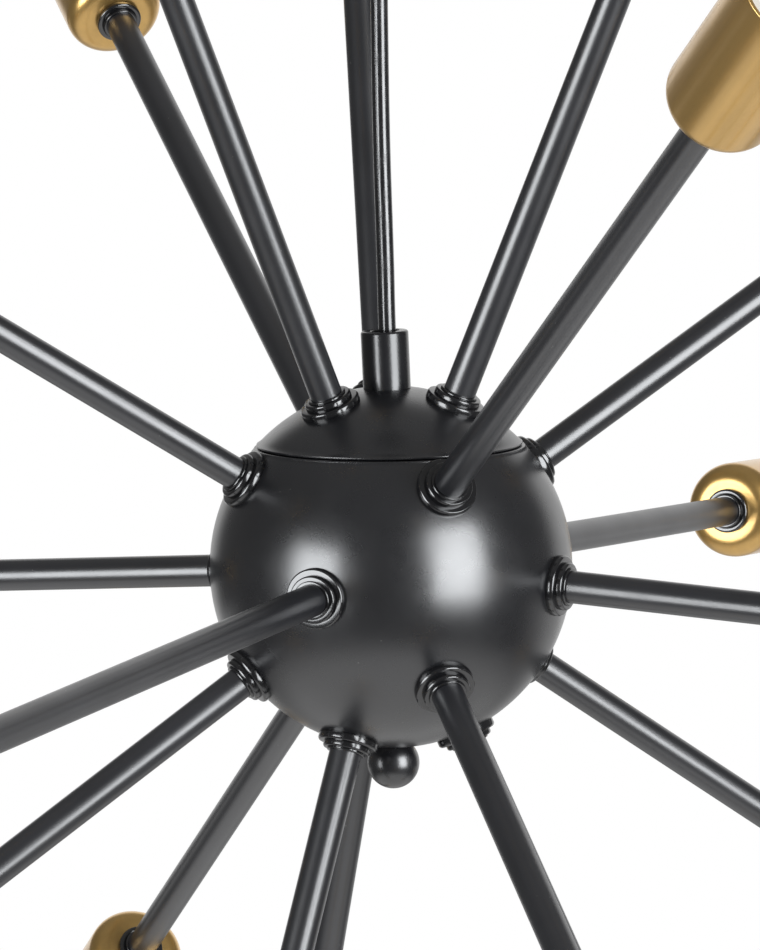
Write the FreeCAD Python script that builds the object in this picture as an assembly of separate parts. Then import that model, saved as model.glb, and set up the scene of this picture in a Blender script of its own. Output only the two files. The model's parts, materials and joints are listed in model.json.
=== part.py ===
"""Sputnik chandelier: a black ball on a cord, with eighteen straight arms that end in gold lamp cups.

Millimetres and degrees. +Z is up, and the origin lies on the ceiling, in the middle of the ceiling
bracket's top face: everything else hangs below it. Azimuths are counted about Z from the front (-Y)
towards +X.
"""
import FreeCAD, Part
import math
import os

# ---- the hang -------------------------------------------------------------------------------------
ceiling_to_ball = 500.0      # from the ceiling down to the ball's centre
swing_limit = 12.0           # the pendant swings this far on its cord, each way
rock_limit = 6.0             # the head rocks this far on the cord's lower end, each way
cord_diameter = 5.4
cord_end_gap = 0.6           # between the cord's free stretch and its held ends, so that it can lean
cord_in_grip = 5.5           # the cord bends this deep in the canopy's grip
cord_in_coupler = 5.8        # and this deep in the coupler
core_radius = 0.7
core_bend = 2.0
CORES = ((1.35, 0.0), (-0.65, 1.2), (-0.65, -1.2))    # the three cores' places in the jacket

# ---- ceiling bracket and canopy -------------------------------------------------------------------
bracket_length = 106.0
bracket_width = 18.0
bracket_thickness = 2.0
slot_spacing = 70.0          # the two ceiling slots, centre to centre
slot_length = 12.0
slot_width = 4.6
stud_spacing = 94.0
stud_radius = 2.0
stud_below_canopy = 9.5      # the thread that a cap nut runs on
earth_screw_offset = 14.0
canopy_radius = 60.0
canopy_height = 26.0
canopy_wall = 1.0
canopy_round = 6.0
ceiling_gap = 0.5            # the canopy's rim stops this short of the ceiling
cap_nut_radius = 6.0
cap_nut_height = 13.0
terminal_length = 24.0
terminal_depth = 15.0
terminal_height = 11.0
terminal_offset = 19.0       # from the cord to the terminal block's near face

# ---- ball -----------------------------------------------------------------------------------------
ball_radius = 56.0
ball_wall = 1.2
seam_margin = 1.0            # degrees between the second ring's collars and the seam
seam_groove = 0.3            # the fine line between the cap and the bowl
lip_height = 4.0             # the bowl's lip inside the cap
lip_root = 1.8               # how far the lip starts below the bowl's rim
lip_clearance = 0.4
centre_tube_radius = 5.0
centre_tube_wall = 0.9
window_width = 6.6
splice_radius = 17.0         # the taped splices round the centre tube
splice_half_height = 20.0
splice_gap = 0.3             # between the splices and the centre tube

# ---- coupler, canopy grip and finial --------------------------------------------------------------
grip_radius = 7.35
coupler_height = 17.8
coupler_play = 0.9           # room round the leaning cord in the coupler's mouth
tube_in_coupler = 6.5
grip_height = 16.0
grip_chamber = 12.0          # the depth of the chamber for the cord's bush
grip_above_nut = 1.5         # how far the grip's thread stands out of its lock nut
finial_radius = 8.1
finial_flat_radius = 5.9
finial_stud_radius = 3.0
finial_travel = 10.0         # how far the finial unscrews, and the bowl comes down with it

# ---- arms -----------------------------------------------------------------------------------------
# One row for each ring of arms, from the top: count, elevation, azimuth of its first arm.
RINGS = ((3, 66.7, 66.0), (4, 32.0, 21.0), (4, -3.6, 66.5), (4, -33.4, 20.8), (3, -66.3, 82.4))
# Three arms stand about a degree off their ring's places: by number, what is added to both angles.
OFF_RING = {11: (1.0, -0.5), 12: (-0.5, -1.1), 13: (-1.0, 0.1)}
arm_radius = 5.0
arm_wall = 0.8
arm_in_ball = 10.0           # how far an arm reaches in past the ball's surface
collar_tiers = ((4.35, 3.0), (2.35, 2.1), (0.95, 0.8))  # width round the arm and height of each step
collar_round = 0.55
nut_width_over = 4.0         # a lock nut's width across flats, over its thread
nut_thickness = 3.0
lead_radius = 0.8
lead_offset = 1.15

# ---- lamp cups ------------------------------------------------------------------------------------
cup_distance = 296.0         # from the ball's centre to the cup's base
cup_radius = 16.4
cup_length = 67.0
cup_wall = 0.9
cup_round = 6.5
washer_width = 2.6           # the black ring under the cup, round the arm
washer_thickness = 2.2
washer_step_width = 0.6
washer_step_thickness = 1.3
arm_in_cup = 8.0             # the arm's thread inside the cup
holder_recess = 3.0          # the lampholder's face lies this far inside the cup's mouth
holder_gap = 0.5             # between the lampholder and the cup's wall
holder_lip = 2.0             # from the lampholder's face in to the screw shell's rim
holder_base = 10.0           # the lampholder's solid part under its socket
socket_radius = 6.6          # inside the screw shell
socket_depth = 21.0          # the screw shell's length
socket_under = 3.0           # from the screw shell's foot to the socket's floor
shell_wall = 0.5
shell_flange = 1.6           # the shell's foot reaches in this far

# ---- fits -----------------------------------------------------------------------------------------
free_fit = 0.2               # a thread or tube in a plain hole, radius
running_fit = 0.05           # a turning piece in its bore, radius
lead_clearance = 0.1         # between a lead's end and what it meets

# ---- places that follow ---------------------------------------------------------------------------
Z = FreeCAD.Vector(0, 0, 1)
ORIGIN = FreeCAD.Vector(0, 0, 0)
ball_centre = FreeCAD.Vector(0, 0, -ceiling_to_ball)
ball_inside = ball_radius - ball_wall
cord_radius = cord_diameter / 2
tube_inside = centre_tube_radius - centre_tube_wall
collar_radius = arm_radius + collar_tiers[0][0]
seam_elevation = RINGS[1][1] + math.degrees(math.asin(collar_radius / ball_radius)) + seam_margin
seam_height = ball_radius * math.sin(math.radians(seam_elevation))
ball_top = math.sqrt(ball_radius ** 2 - grip_radius ** 2)             # the flat under the coupler
ball_bottom = -math.sqrt(ball_radius ** 2 - finial_flat_radius ** 2)  # the flat over the finial
canopy_floor = -canopy_height + canopy_wall
grip_bottom = -canopy_height - grip_height
swing_pivot = grip_bottom + cord_in_grip                              # where the cord bends, above
coupler_top = ball_top + coupler_height
rock_pivot = coupler_top - cord_in_coupler                            # where it bends, in the coupler
cup_inside = cup_radius - cup_wall
cup_mouth = cup_distance + cup_length
holder_face = cup_mouth - holder_recess
shell_rim = holder_face - holder_lip
socket_floor = shell_rim - socket_depth - socket_under
holder_partition = socket_floor - holder_base

os.makedirs("parts", exist_ok=True)


def vec(x, y, z):
    return FreeCAD.Vector(x, y, z)


def save(name, *solids):
    """Write one node: a single solid, or a group of separate ones."""
    shape = solids[0] if len(solids) == 1 else Part.makeCompound(list(solids))
    for solid in shape.Solids:
        if not solid.isValid():
            raise ValueError(f"{name} has a bad solid")
    shape.exportStep(f"parts/{name}.step")


def turned(outline):
    """A solid of revolution about Z from (radius, height) corners. A third number rounds the corner."""
    edges = []
    count = len(outline)
    starts, ends, middles = [], [], []
    for i, corner in enumerate(outline):
        here = vec(corner[0], 0, corner[1])
        before = vec(outline[i - 1][0], 0, outline[i - 1][1])
        after = vec(outline[(i + 1) % count][0], 0, outline[(i + 1) % count][1])
        if len(corner) == 2:
            starts.append(here)
            ends.append(here)
            middles.append(None)
            continue
        back = (before - here).normalize()
        forward = (after - here).normalize()
        half = back.getAngle(forward) / 2
        setback = corner[2] / math.tan(half)
        centre = here + (back + forward).normalize() * (corner[2] / math.sin(half))
        starts.append(here + back * setback)
        ends.append(here + forward * setback)
        middles.append(centre + (here - centre).normalize() * corner[2])
    for i in range(count):
        if middles[i] is not None:
            edges.append(Part.Arc(starts[i], middles[i], ends[i]).toShape())
        following = starts[(i + 1) % count]
        if ends[i].distanceToPoint(following) > 1e-6:
            edges.append(Part.LineSegment(ends[i], following).toShape())
    face = Part.Face(Part.Wire(edges))
    return face.revolve(ORIGIN, Z, 360)


def rod(radius, low, high, x=0.0, y=0.0):
    return Part.makeCylinder(radius, high - low, vec(x, y, low))


def ring(outer, inner, low, high):
    return rod(outer, low, high).cut(rod(inner, low, high))


def hex_nut(bore, low, thickness, width):
    """A hexagon nut with a flat towards +Y, its corners turned down to a circle."""
    corner = width / math.sqrt(3)
    points = [
        vec(corner * math.cos(math.radians(60 * k)), corner * math.sin(math.radians(60 * k)), low)
        for k in range(7)
    ]
    prism = Part.Face(Part.makePolygon(points)).extrude(vec(0, 0, thickness))
    turn = 0.97 * corner
    chamfer = 0.12 * thickness
    round_off = turned([
        (0, low), (turn, low), (corner, low + chamfer),
        (corner, low + thickness - chamfer), (turn, low + thickness), (0, low + thickness),
    ])
    return prism.common(round_off).cut(rod(bore, low - 1, low + thickness + 1))


def swept(points, radius, fixed_bend=None):
    """A plain tube along straight runs joined by tangent arcs. Returns the solid, its length, its radii."""
    edges, bends = [], []
    length = 0.0
    last = points[0]
    for i in range(1, len(points) - 1):
        into = points[i] - points[i - 1]
        out = points[i + 1] - points[i]
        half = into.getAngle(out) / 2
        bend = fixed_bend or 0.45 * min(into.Length, out.Length) / math.tan(half)
        setback = bend * math.tan(half)
        a = points[i] - into.normalize() * setback
        b = points[i] + out.normalize() * setback
        to_centre = (out - into).normalize()
        middle = points[i] + to_centre * (bend / math.cos(half) - bend)
        edges += [Part.LineSegment(last, a).toShape(), Part.Arc(a, middle, b).toShape()]
        length += last.distanceToPoint(a) + bend * 2 * half
        bends.append(bend)
        last = b
    edges.append(Part.LineSegment(last, points[-1]).toShape())
    length += last.distanceToPoint(points[-1])
    start = (points[1] - points[0]).normalize()
    circle = Part.Wire(Part.makeCircle(radius, points[0], start))
    solid = Part.Wire(edges).makePipeShell([circle], True, False)
    return solid, length, bends


# ---- ceiling bracket and canopy -------------------------------------------------------------------
def ceiling_bracket():
    plate = Part.makeBox(
        bracket_length, bracket_width, bracket_thickness,
        vec(-bracket_length / 2, -bracket_width / 2, -bracket_thickness),
    )
    plate = plate.makeFillet(4.0, [e for e in plate.Edges if abs(e.tangentAt(e.FirstParameter).z) > 0.9])
    low, high = -bracket_thickness - 1, 1
    for side in (-1, 1):
        centre = side * slot_spacing / 2
        reach = (slot_length - slot_width) / 2
        slot = rod(slot_width / 2, low, high, centre - reach).fuse(
            rod(slot_width / 2, low, high, centre + reach)
        ).fuse(Part.makeBox(2 * reach, slot_width, high - low, vec(centre - reach, -slot_width / 2, low)))
        plate = plate.cut(slot).cut(rod(stud_radius, low, high, side * stud_spacing / 2))
    return plate.cut(rod(stud_radius, low, high, -earth_screw_offset))


def bracket_studs():
    pieces = []
    for side in (-1, 1):
        x = side * stud_spacing / 2
        pieces.append(rod(stud_radius, -canopy_height - stud_below_canopy, 0, x))
        nut = hex_nut(stud_radius, -bracket_thickness - 3.2, 3.2, 2 * stud_radius + 3.0)
        nut.translate(vec(x, 0, 0))
        pieces.append(nut)
    return pieces


def earth_screw():
    head = turned([
        (0, -bracket_thickness - 3.0), (3.6, -bracket_thickness - 3.0, 1.2),
        (3.6, -bracket_thickness), (stud_radius, -bracket_thickness), (stud_radius, 0), (0, 0),
    ])
    driver = Part.makeBox(8.0, 0.9, 1.2, vec(-4.0, -0.45, -bracket_thickness - 3.0))
    screw = head.cut(driver)
    screw.translate(vec(-earth_screw_offset, 0, 0))
    return screw


def canopy():
    inner_round = canopy_round - canopy_wall
    shell = turned([
        (canopy_radius, -ceiling_gap), (canopy_radius, -canopy_height, canopy_round),
        (centre_tube_radius + free_fit, -canopy_height), (centre_tube_radius + free_fit, canopy_floor),
        (canopy_radius - canopy_wall, canopy_floor, inner_round), (canopy_radius - canopy_wall, -ceiling_gap),
    ])
    for side in (-1, 1):
        shell = shell.cut(rod(stud_radius + free_fit, -canopy_height - 1, 0, side * stud_spacing / 2))
    return shell


def cap_nut(side):
    """A knurled-knob shape, domed below, with a blind thread."""
    top = -canopy_height
    knob = turned([
        (0, top - cap_nut_height), (cap_nut_radius - 1.6, top - cap_nut_height, 2.5),
        (cap_nut_radius, top - 4.0, 1.0), (cap_nut_radius, top, 0.5), (0, top),
    ])
    knob = knob.cut(rod(stud_radius + running_fit, top - stud_below_canopy - 0.5, top + 1))
    knob.translate(vec(side * stud_spacing / 2, 0, 0))
    return knob


def canopy_grip():
    """The turned grip under the canopy: a thread up through it, and a chamber for the cord's bush."""
    bore = cord_radius + free_fit
    chamber_top = grip_bottom + grip_chamber
    top = canopy_floor + nut_thickness + grip_above_nut
    return turned([
        (bore, top), (centre_tube_radius, top), (centre_tube_radius, -canopy_height), (grip_radius, -canopy_height, 0.4),
        (grip_radius, grip_bottom, 0.8), (centre_tube_radius, grip_bottom),
        (centre_tube_radius, chamber_top), (bore, chamber_top),
    ])


def cord_bush():
    """The bush that the cord turns and leans in: a close bore above, a bell mouth below."""
    lean = math.radians(swing_limit)
    throat = cord_radius / math.cos(lean) + free_fit
    mouth = throat + cord_in_grip * math.tan(lean)
    outer = centre_tube_radius - running_fit
    top = grip_bottom + grip_chamber - running_fit
    return turned([
        (cord_radius + running_fit, top), (outer, top), (outer, grip_bottom, 0.3),
        (mouth, grip_bottom), (throat, swing_pivot), (throat, swing_pivot + 1.0),
        (cord_radius + running_fit, swing_pivot + 1.0),
    ])


def terminal_block():
    """Three poles side by side, each with a square wire entry on both faces and two screw wells."""
    block = Part.makeBox(
        terminal_depth, terminal_length, terminal_height,
        vec(terminal_offset, -terminal_length / 2, canopy_floor),
    )
    block = block.makeFillet(0.8, [e for e in block.Edges if abs(e.tangentAt(e.FirstParameter).z) > 0.9])
    screws = []
    pitch = terminal_length / 3
    well_floor = canopy_floor + 0.7 * terminal_height
    for pole in (-1, 0, 1):
        y = pole * pitch
        entry = Part.makeBox(4.0, 3.4, 3.4, vec(terminal_offset + terminal_depth - 4.0, y - 1.7, canopy_floor + 3.0))
        block = block.cut(entry)
        for share in (0.28, 0.72):
            x = terminal_offset + share * terminal_depth
            well = rod(2.0, well_floor, canopy_floor + terminal_height + 1, x, y)
            block = block.cut(well)
            screw = rod(1.7, well_floor, well_floor + 2.0, x, y)
            slot = Part.makeBox(4.0, 0.6, 0.8, vec(x - 2.0, y - 0.3, well_floor + 1.3))
            screws.append(screw.cut(slot))
        groove = Part.makeBox(terminal_depth, 1.0, 2.0, vec(terminal_offset, y + pitch / 2 - 0.5,
                                                            canopy_floor + terminal_height - 2.0))
        if pole < 1:
            block = block.cut(groove)
    return block, screws


def cord_end(jacket_low, jacket_high, cores_start, reach, middle_level, outer_level):
    """A held end of the cord: its jacket, and three cores that leave it and turn off towards +X.

    The middle core turns off at another level than the outer two, which pass it.
    """
    pieces = [rod(cord_radius, jacket_low, jacket_high)]
    for (x, y), level in zip(CORES, (middle_level, outer_level, outer_level)):
        path = [vec(x, y, cores_start), vec(x, y, level), vec(reach, y, level)]
        pieces.append(swept(path, core_radius, fixed_bend=core_bend)[0])
    return pieces


# ---- cord -----------------------------------------------------------------------------------------
# The free stretch, from the bush under the canopy down into the coupler. It carries the head, so it
# is almost straight. It leans a little to the left, and comes back to the right at the coupler.
CORD_LEANS = ((190.0, -1.5, 0.1), (134.0, -1.45, 0.0), (96.0, -0.55, -0.1))  # height over the ball, x, y
cord_at_coupler = -0.35      # its x in the coupler's mouth


def cord_route():
    """The corners of the cord's centre line, from the top down."""
    foot = ball_centre.z
    leans_from = foot + CORD_LEANS[0][0]
    drop = swing_pivot - leans_from
    route = [
        vec(0, 0, swing_pivot),
        vec(-0.2, 0.1, swing_pivot - 0.3 * drop),
        vec(-1.0, 0.2, swing_pivot - 0.65 * drop),
    ]
    route += [vec(x, y, foot + height) for height, x, y in CORD_LEANS]
    return route + [vec(cord_at_coupler, 0, foot + coupler_top), vec(0, 0, foot + rock_pivot)]


# ---- head -----------------------------------------------------------------------------------------
def at_ball(shape):
    """Move a shape made about the ball's centre to its place."""
    shape.translate(ball_centre)
    return shape


def along(shape, elevation, azimuth):
    """Turn a shape made along +Z to an arm's direction, and move it to the ball."""
    placed = shape.copy()
    placed.rotate(ORIGIN, vec(1, 0, 0), 90.0 - elevation)
    placed.rotate(ORIGIN, Z, azimuth)
    placed.translate(ball_centre)
    return placed


def arms():
    """Every arm's number, ring, elevation and azimuth, from the top ring down."""
    number = 0
    for index, (count, elevation, first) in enumerate(RINGS):
        for k in range(count):
            number += 1
            rise, turn = OFF_RING.get(number, (0.0, 0.0))
            yield number, index + 1, elevation + rise, first + 360.0 * k / count + turn


def slab(low, high):
    """All that lies between two heights, wide enough for the ball."""
    return rod(2 * ball_radius, low, high)


def ball_shell():
    return Part.makeSphere(ball_radius).cut(Part.makeSphere(ball_inside))


def arm_holes(rings):
    for _, number, elevation, azimuth in arms():
        if number in rings:
            hole = rod(arm_radius + free_fit, ball_radius / 2, 2 * ball_radius)
            yield along(hole, elevation, azimuth)


def ball_cap():
    cap = ball_shell().common(slab(seam_height, ball_top))
    cap = at_ball(cap.cut(rod(centre_tube_radius + free_fit, 0, 2 * ball_radius)))
    for hole in arm_holes((1,)):
        cap = cap.cut(hole)
    return cap


def ball_bowl():
    rim = seam_height - seam_groove
    lip_outside = ball_inside - lip_clearance
    lip_inside = lip_outside - ball_wall
    bowl = ball_shell().common(slab(ball_bottom, rim))
    root = Part.makeSphere(ball_inside + 0.1).cut(Part.makeSphere(lip_inside)).common(slab(rim - lip_root, rim))
    lip = Part.makeSphere(lip_outside).cut(Part.makeSphere(lip_inside))
    lip = lip.common(slab(rim - lip_root, seam_height + lip_height))
    bowl = bowl.fuse(root).fuse(lip).removeSplitter()
    bowl = at_ball(bowl.cut(rod(finial_stud_radius + free_fit, -2 * ball_radius, 0)))
    for hole in arm_holes((2, 3, 4, 5)):
        bowl = bowl.cut(hole)
    return bowl


tube_top = ball_top + tube_in_coupler
tube_foot = -ball_inside + 2.0
bush_depth = finial_travel + 3.0
window_low = -6.0
window_high = 16.0
splice_inside = centre_tube_radius + splice_gap


def centre_tube():
    tube = ring(centre_tube_radius, tube_inside, tube_foot, tube_top)
    window = Part.makeBox(
        2 * centre_tube_radius, window_width, window_high - window_low,
        vec(0, -window_width / 2, window_low),
    )
    return at_ball(tube.cut(window))


def tube_end_bush():
    return at_ball(ring(tube_inside, finial_stud_radius + running_fit, tube_foot, tube_foot + bush_depth))


def cap_lock_nut():
    """The flanged nut that pulls the cap down on the coupler from inside."""
    flange_radius = centre_tube_radius + 4.0
    flange_top = math.sqrt(ball_inside ** 2 - flange_radius ** 2)
    nut = hex_nut(centre_tube_radius, flange_top - 1.2 - 4.0, 4.0, 2 * centre_tube_radius + 6.0)
    return at_ball(nut.fuse(ring(flange_radius, centre_tube_radius, flange_top - 1.2, flange_top)))


def coupler():
    lean = math.radians(rock_limit)
    bore = cord_radius / math.cos(lean) + cord_in_coupler * math.tan(lean) + coupler_play
    chamber_top = rock_pivot - cord_end_gap
    return at_ball(turned([
        (centre_tube_radius, ball_top), (grip_radius, ball_top, 0.3), (grip_radius, coupler_top, 0.7),
        (bore, coupler_top, 0.3), (bore, chamber_top), (centre_tube_radius, chamber_top),
    ]))


def coupler_bush():
    return at_ball(ring(centre_tube_radius, cord_radius, tube_top, rock_pivot - cord_end_gap))


def finial():
    """A ball nut: its flat top meets the bowl, and its stud screws into the centre tube's end bush."""
    drop = math.sqrt(finial_radius ** 2 - finial_flat_radius ** 2)
    centre = ball_bottom - drop
    sphere = Part.makeSphere(finial_radius, vec(0, 0, centre)).common(slab(-2 * ball_radius, ball_bottom))
    stud = rod(finial_stud_radius, ball_bottom - 1, tube_foot + finial_travel + 1.5)
    return at_ball(sphere.fuse(stud).removeSplitter())


def wire_splices():
    """The arms' leads and the cord's cores are joined in two taped splices round the centre tube."""
    whole = turned([
        (splice_inside, -splice_half_height, 1.0), (splice_radius, -splice_half_height, 3.0),
        (splice_radius, splice_half_height, 3.0), (splice_inside, splice_half_height, 1.0),
    ])
    halves = []
    for side in (-1, 1):
        half = Part.makeBox(
            3 * splice_radius, 3 * splice_radius, 3 * splice_radius,
            vec(-1.5 * splice_radius, 0.4 if side > 0 else -0.4 - 3 * splice_radius, -1.5 * splice_radius),
        )
        halves.append(at_ball(whole.common(half)))
    return halves


# ---- one arm and its cup, made along +Z from the ball's centre -------------------------------------
def arm_tube():
    inner = arm_radius - arm_wall
    return ring(arm_radius, inner, ball_radius - arm_in_ball, cup_distance + cup_wall + arm_in_cup)


def arm_collar():
    """The stepped rosette on the ball. Its foot fits the sphere."""
    foot = math.sqrt(ball_radius ** 2 - collar_radius ** 2)
    outline = [(arm_radius, ball_radius / 2), (collar_radius, ball_radius / 2)]
    height = foot
    for index, (width, rise) in enumerate(collar_tiers):
        height += rise
        edge = min(collar_round, 0.45 * rise)
        outline.append((arm_radius + width, height, edge))
        below = collar_tiers[index + 1][0] if index + 1 < len(collar_tiers) else 0.0
        outline.append((arm_radius + below, height))
    return turned(outline).cut(Part.makeSphere(ball_radius))


def arm_nut():
    width = 2 * arm_radius + nut_width_over
    corner = width / math.sqrt(3)
    top = math.sqrt(ball_inside ** 2 - corner ** 2)
    return hex_nut(arm_radius, top - nut_thickness, nut_thickness, width)


def cup_washer():
    step = cup_distance - washer_thickness
    return turned([
        (arm_radius, step - washer_step_thickness),
        (arm_radius + washer_step_width, step - washer_step_thickness, 0.3),
        (arm_radius + washer_step_width, step), (arm_radius + washer_width, step, 0.7),
        (arm_radius + washer_width, cup_distance, 0.5), (arm_radius, cup_distance),
    ])


def lamp_cup():
    floor = cup_distance + cup_wall
    return turned([
        (arm_radius, cup_distance), (cup_radius, cup_distance, cup_round), (cup_radius, cup_mouth, 0.3),
        (cup_inside, cup_mouth, 0.3), (cup_inside, floor, cup_round - cup_wall), (arm_radius, floor),
    ])


def lampholder():
    """The insulating body: threaded on the arm, wide at the mouth, with a well for the screw shell."""
    floor = cup_distance + cup_wall
    outside = cup_inside - holder_gap
    neck = outside - cup_round
    thread_top = floor + arm_in_cup
    well = socket_radius + shell_wall
    return turned([
        (arm_radius, floor), (neck, floor, 0.8), (neck, floor + 14.0), (outside, floor + 20.0, 2.0),
        (outside, holder_face, 1.2), (well + 1.0, holder_face, 0.5), (well + 1.0, shell_rim),
        (well, shell_rim), (well, socket_floor), (0, socket_floor), (0, holder_partition),
        (arm_radius - arm_wall, holder_partition), (arm_radius - arm_wall, thread_top), (arm_radius, thread_top),
    ])


def screw_shell():
    """The metal socket: a plain sleeve for the thread, on a flange that sits on the well's floor."""
    outer = socket_radius + shell_wall
    foot = shell_rim - socket_depth
    return turned([
        (socket_radius - shell_flange, socket_floor), (outer, socket_floor), (outer, shell_rim),
        (socket_radius, shell_rim), (socket_radius, foot), (socket_radius - shell_flange, foot),
    ])


def centre_contact():
    return turned([
        (0, socket_floor), (2.6, socket_floor), (2.6, socket_floor + 0.8), (1.8, socket_floor + 2.4, 0.5),
        (0, socket_floor + 2.4),
    ])


def arm_leads(elevation):
    """Two straight leads, from the splices out to the lampholder's partition."""
    slope = math.radians(abs(elevation))
    beside = (splice_radius + lead_radius * math.sin(slope)) / math.cos(slope)
    above = (splice_half_height + lead_radius * math.cos(slope)) / max(math.sin(slope), 1e-3)
    start = min(beside, above) + lead_clearance
    end = holder_partition - lead_clearance
    return [rod(lead_radius, start, end, side * lead_offset) for side in (-1, 1)]


# ---- build ----------------------------------------------------------------------------------------
save("ceiling_bracket", ceiling_bracket())
save("bracket_studs", *bracket_studs())
save("earth_screw", earth_screw())
save("canopy", canopy())
save("cap_nut_left", cap_nut(-1))
save("cap_nut_right", cap_nut(1))
save("canopy_grip", canopy_grip())
grip_nut = hex_nut(centre_tube_radius, canopy_floor, nut_thickness, 2 * centre_tube_radius + nut_width_over)
save("grip_lock_nut", grip_nut)
save("cord_bush", cord_bush())
block, block_screws = terminal_block()
save("terminal_block", block)
save("terminal_screws", *block_screws)
# The block's poles are low, so the cores turn off at its top half, the middle one above the others.
jacket_top = canopy_floor + nut_thickness + grip_above_nut + 0.5
save("cord_upper_end", *cord_end(
    swing_pivot + cord_end_gap, jacket_top, jacket_top, terminal_offset - lead_clearance,
    jacket_top + 4.5, jacket_top + 2.3,
))

cord_solid, cord_length, cord_bends = swept(cord_route(), cord_radius)
section = math.pi * cord_radius ** 2
print("cord length %.2f mm, volume over section times length %.5f" % (
    cord_length, cord_solid.Volume / (section * cord_length)))
print("cord bend radii", [round(bend) for bend in cord_bends])
save("cord", cord_solid)

save("coupler", coupler())
save("coupler_bush", coupler_bush())
# Inside the centre tube the cores turn out through its window, up to the splices.
jacket_foot = window_high + 2.0
core_side = core_radius + max(y for _, y in CORES)
core_reach = math.sqrt((splice_inside - lead_clearance) ** 2 - core_side ** 2)
save("cord_lower_end", *[at_ball(piece) for piece in cord_end(
    jacket_foot, rock_pivot - cord_end_gap, jacket_foot, core_reach, 9.0, 5.0,
)])
save("centre_tube", centre_tube())
save("tube_end_bush", tube_end_bush())
save("cap_lock_nut", cap_lock_nut())
save("ball_cap", ball_cap())
save("ball_bowl", ball_bowl())
save("finial", finial())
save("wire_splices", *wire_splices())

cups = {number + 1: [] for number in range(len(RINGS))}
shared = {
    "arm_collars": arm_collar(), "arm_nuts": arm_nut(), "cup_washers": cup_washer(),
    "lampholders": lampholder(), "screw_shells": screw_shell(), "centre_contacts": centre_contact(),
}
groups = {f"{name}_{half}": [] for name in [*shared, "arm_leads"] for half in ("cap", "bowl")}
tube, cup = arm_tube(), lamp_cup()
for number, ring_number, elevation, azimuth in arms():
    half = "cap" if ring_number == 1 else "bowl"
    save(f"arm_tube_{number:02d}", along(tube, elevation, azimuth))
    cups[ring_number].append(along(cup, elevation, azimuth))
    for name, piece in shared.items():
        groups[f"{name}_{half}"].append(along(piece, elevation, azimuth))
    groups[f"arm_leads_{half}"] += [along(lead, elevation, azimuth) for lead in arm_leads(elevation)]
for ring_number, pieces in cups.items():
    save(f"lamp_cups_ring_{ring_number}", *pieces)
for name, pieces in groups.items():
    save(name, *pieces)
print("nodes", len(os.listdir("parts")))
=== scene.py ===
"""Sputnik chandelier: the looks of a black ball on a cord, with eighteen arms that end in gold cups.

Metres, in the frame of the packed part: +Z is up and the origin lies on the ceiling. Outlines of turned
pieces are written in millimetres. Each piece of an arm is made along +Z, with its zero in the middle of
the ball, and is then copied to the arms.
"""

import json
import math

import bpy
from mathutils import Matrix, Vector

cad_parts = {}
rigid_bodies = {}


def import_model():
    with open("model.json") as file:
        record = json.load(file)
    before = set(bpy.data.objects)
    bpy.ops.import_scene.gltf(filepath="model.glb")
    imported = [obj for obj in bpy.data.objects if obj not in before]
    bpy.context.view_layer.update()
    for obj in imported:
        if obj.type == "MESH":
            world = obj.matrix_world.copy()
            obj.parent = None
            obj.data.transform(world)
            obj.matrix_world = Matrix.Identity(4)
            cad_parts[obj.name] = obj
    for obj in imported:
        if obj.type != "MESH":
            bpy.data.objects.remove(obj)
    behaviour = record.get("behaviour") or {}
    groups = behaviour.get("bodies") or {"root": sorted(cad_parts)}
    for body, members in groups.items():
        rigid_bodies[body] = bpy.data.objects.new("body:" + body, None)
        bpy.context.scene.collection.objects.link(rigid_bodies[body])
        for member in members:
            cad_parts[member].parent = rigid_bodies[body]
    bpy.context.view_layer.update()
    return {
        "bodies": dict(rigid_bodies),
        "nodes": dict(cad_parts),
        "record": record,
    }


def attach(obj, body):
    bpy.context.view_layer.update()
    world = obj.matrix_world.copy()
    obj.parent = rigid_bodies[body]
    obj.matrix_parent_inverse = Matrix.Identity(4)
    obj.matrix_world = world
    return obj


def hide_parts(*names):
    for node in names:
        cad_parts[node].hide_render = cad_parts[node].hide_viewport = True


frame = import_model()

bl_info = {
    "name": "Sputnik chandelier",
    "version": (1, 0, 0),
    "blender": (4, 5, 0),
    "location": "3D View > Sidebar > Chandelier",
    "description": "Builds a sputnik chandelier piece by piece round its construction model",
    "category": "Add Mesh",
}

MM = 0.001
BALL_CENTRE = Vector((0.0, 0.0, -0.5))
SOCKETS = sorted(
    (mount for mount in frame["record"]["mounts"] if mount["name"].startswith("lamp_socket")),
    key=lambda mount: mount["name"],
)
ARMS = [(index + 1, Vector(mount["axis"]).normalized()) for index, mount in enumerate(SOCKETS)]
RING_ARMS = {1: ARMS[0:3], 2: ARMS[3:7], 3: ARMS[7:11], 4: ARMS[11:15], 5: ARMS[15:18]}
LIVE, NEUTRAL = (0.10, 0.040, 0.018), (0.020, 0.085, 0.28)     # insulation colours
FOLLOWED = "place"           # the attribute that holds where a point was before its piece was copied
PATTERN_STEP = 0.37          # how far the patterns move on from one arm to the next
CREASE = 40.0                # edges sharper than this many degrees stay crisp


def size(name, description, default):
    """A length that a user may change."""
    return bpy.props.FloatProperty(
        name=name, description=description, default=default, min=0.0, subtype="DISTANCE", unit="LENGTH",
        precision=4,
    )


def tone(name, description, default):
    """A colour that a user may change."""
    return bpy.props.FloatVectorProperty(
        name=name, description=description, default=default, size=3, min=0.0, max=1.0, subtype="COLOR",
    )


def share(name, description, default):
    """A plain number from 0 to 1 that a user may change."""
    return bpy.props.FloatProperty(
        name=name, description=description, default=default, min=0.0, max=1.0, subtype="FACTOR",
    )


def watts(name, default):
    """A lamp's power that a user may change."""
    return bpy.props.FloatProperty(
        name=name, description=f"Power of the {name.lower()}", default=default, min=0.0, subtype="POWER",
    )


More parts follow.
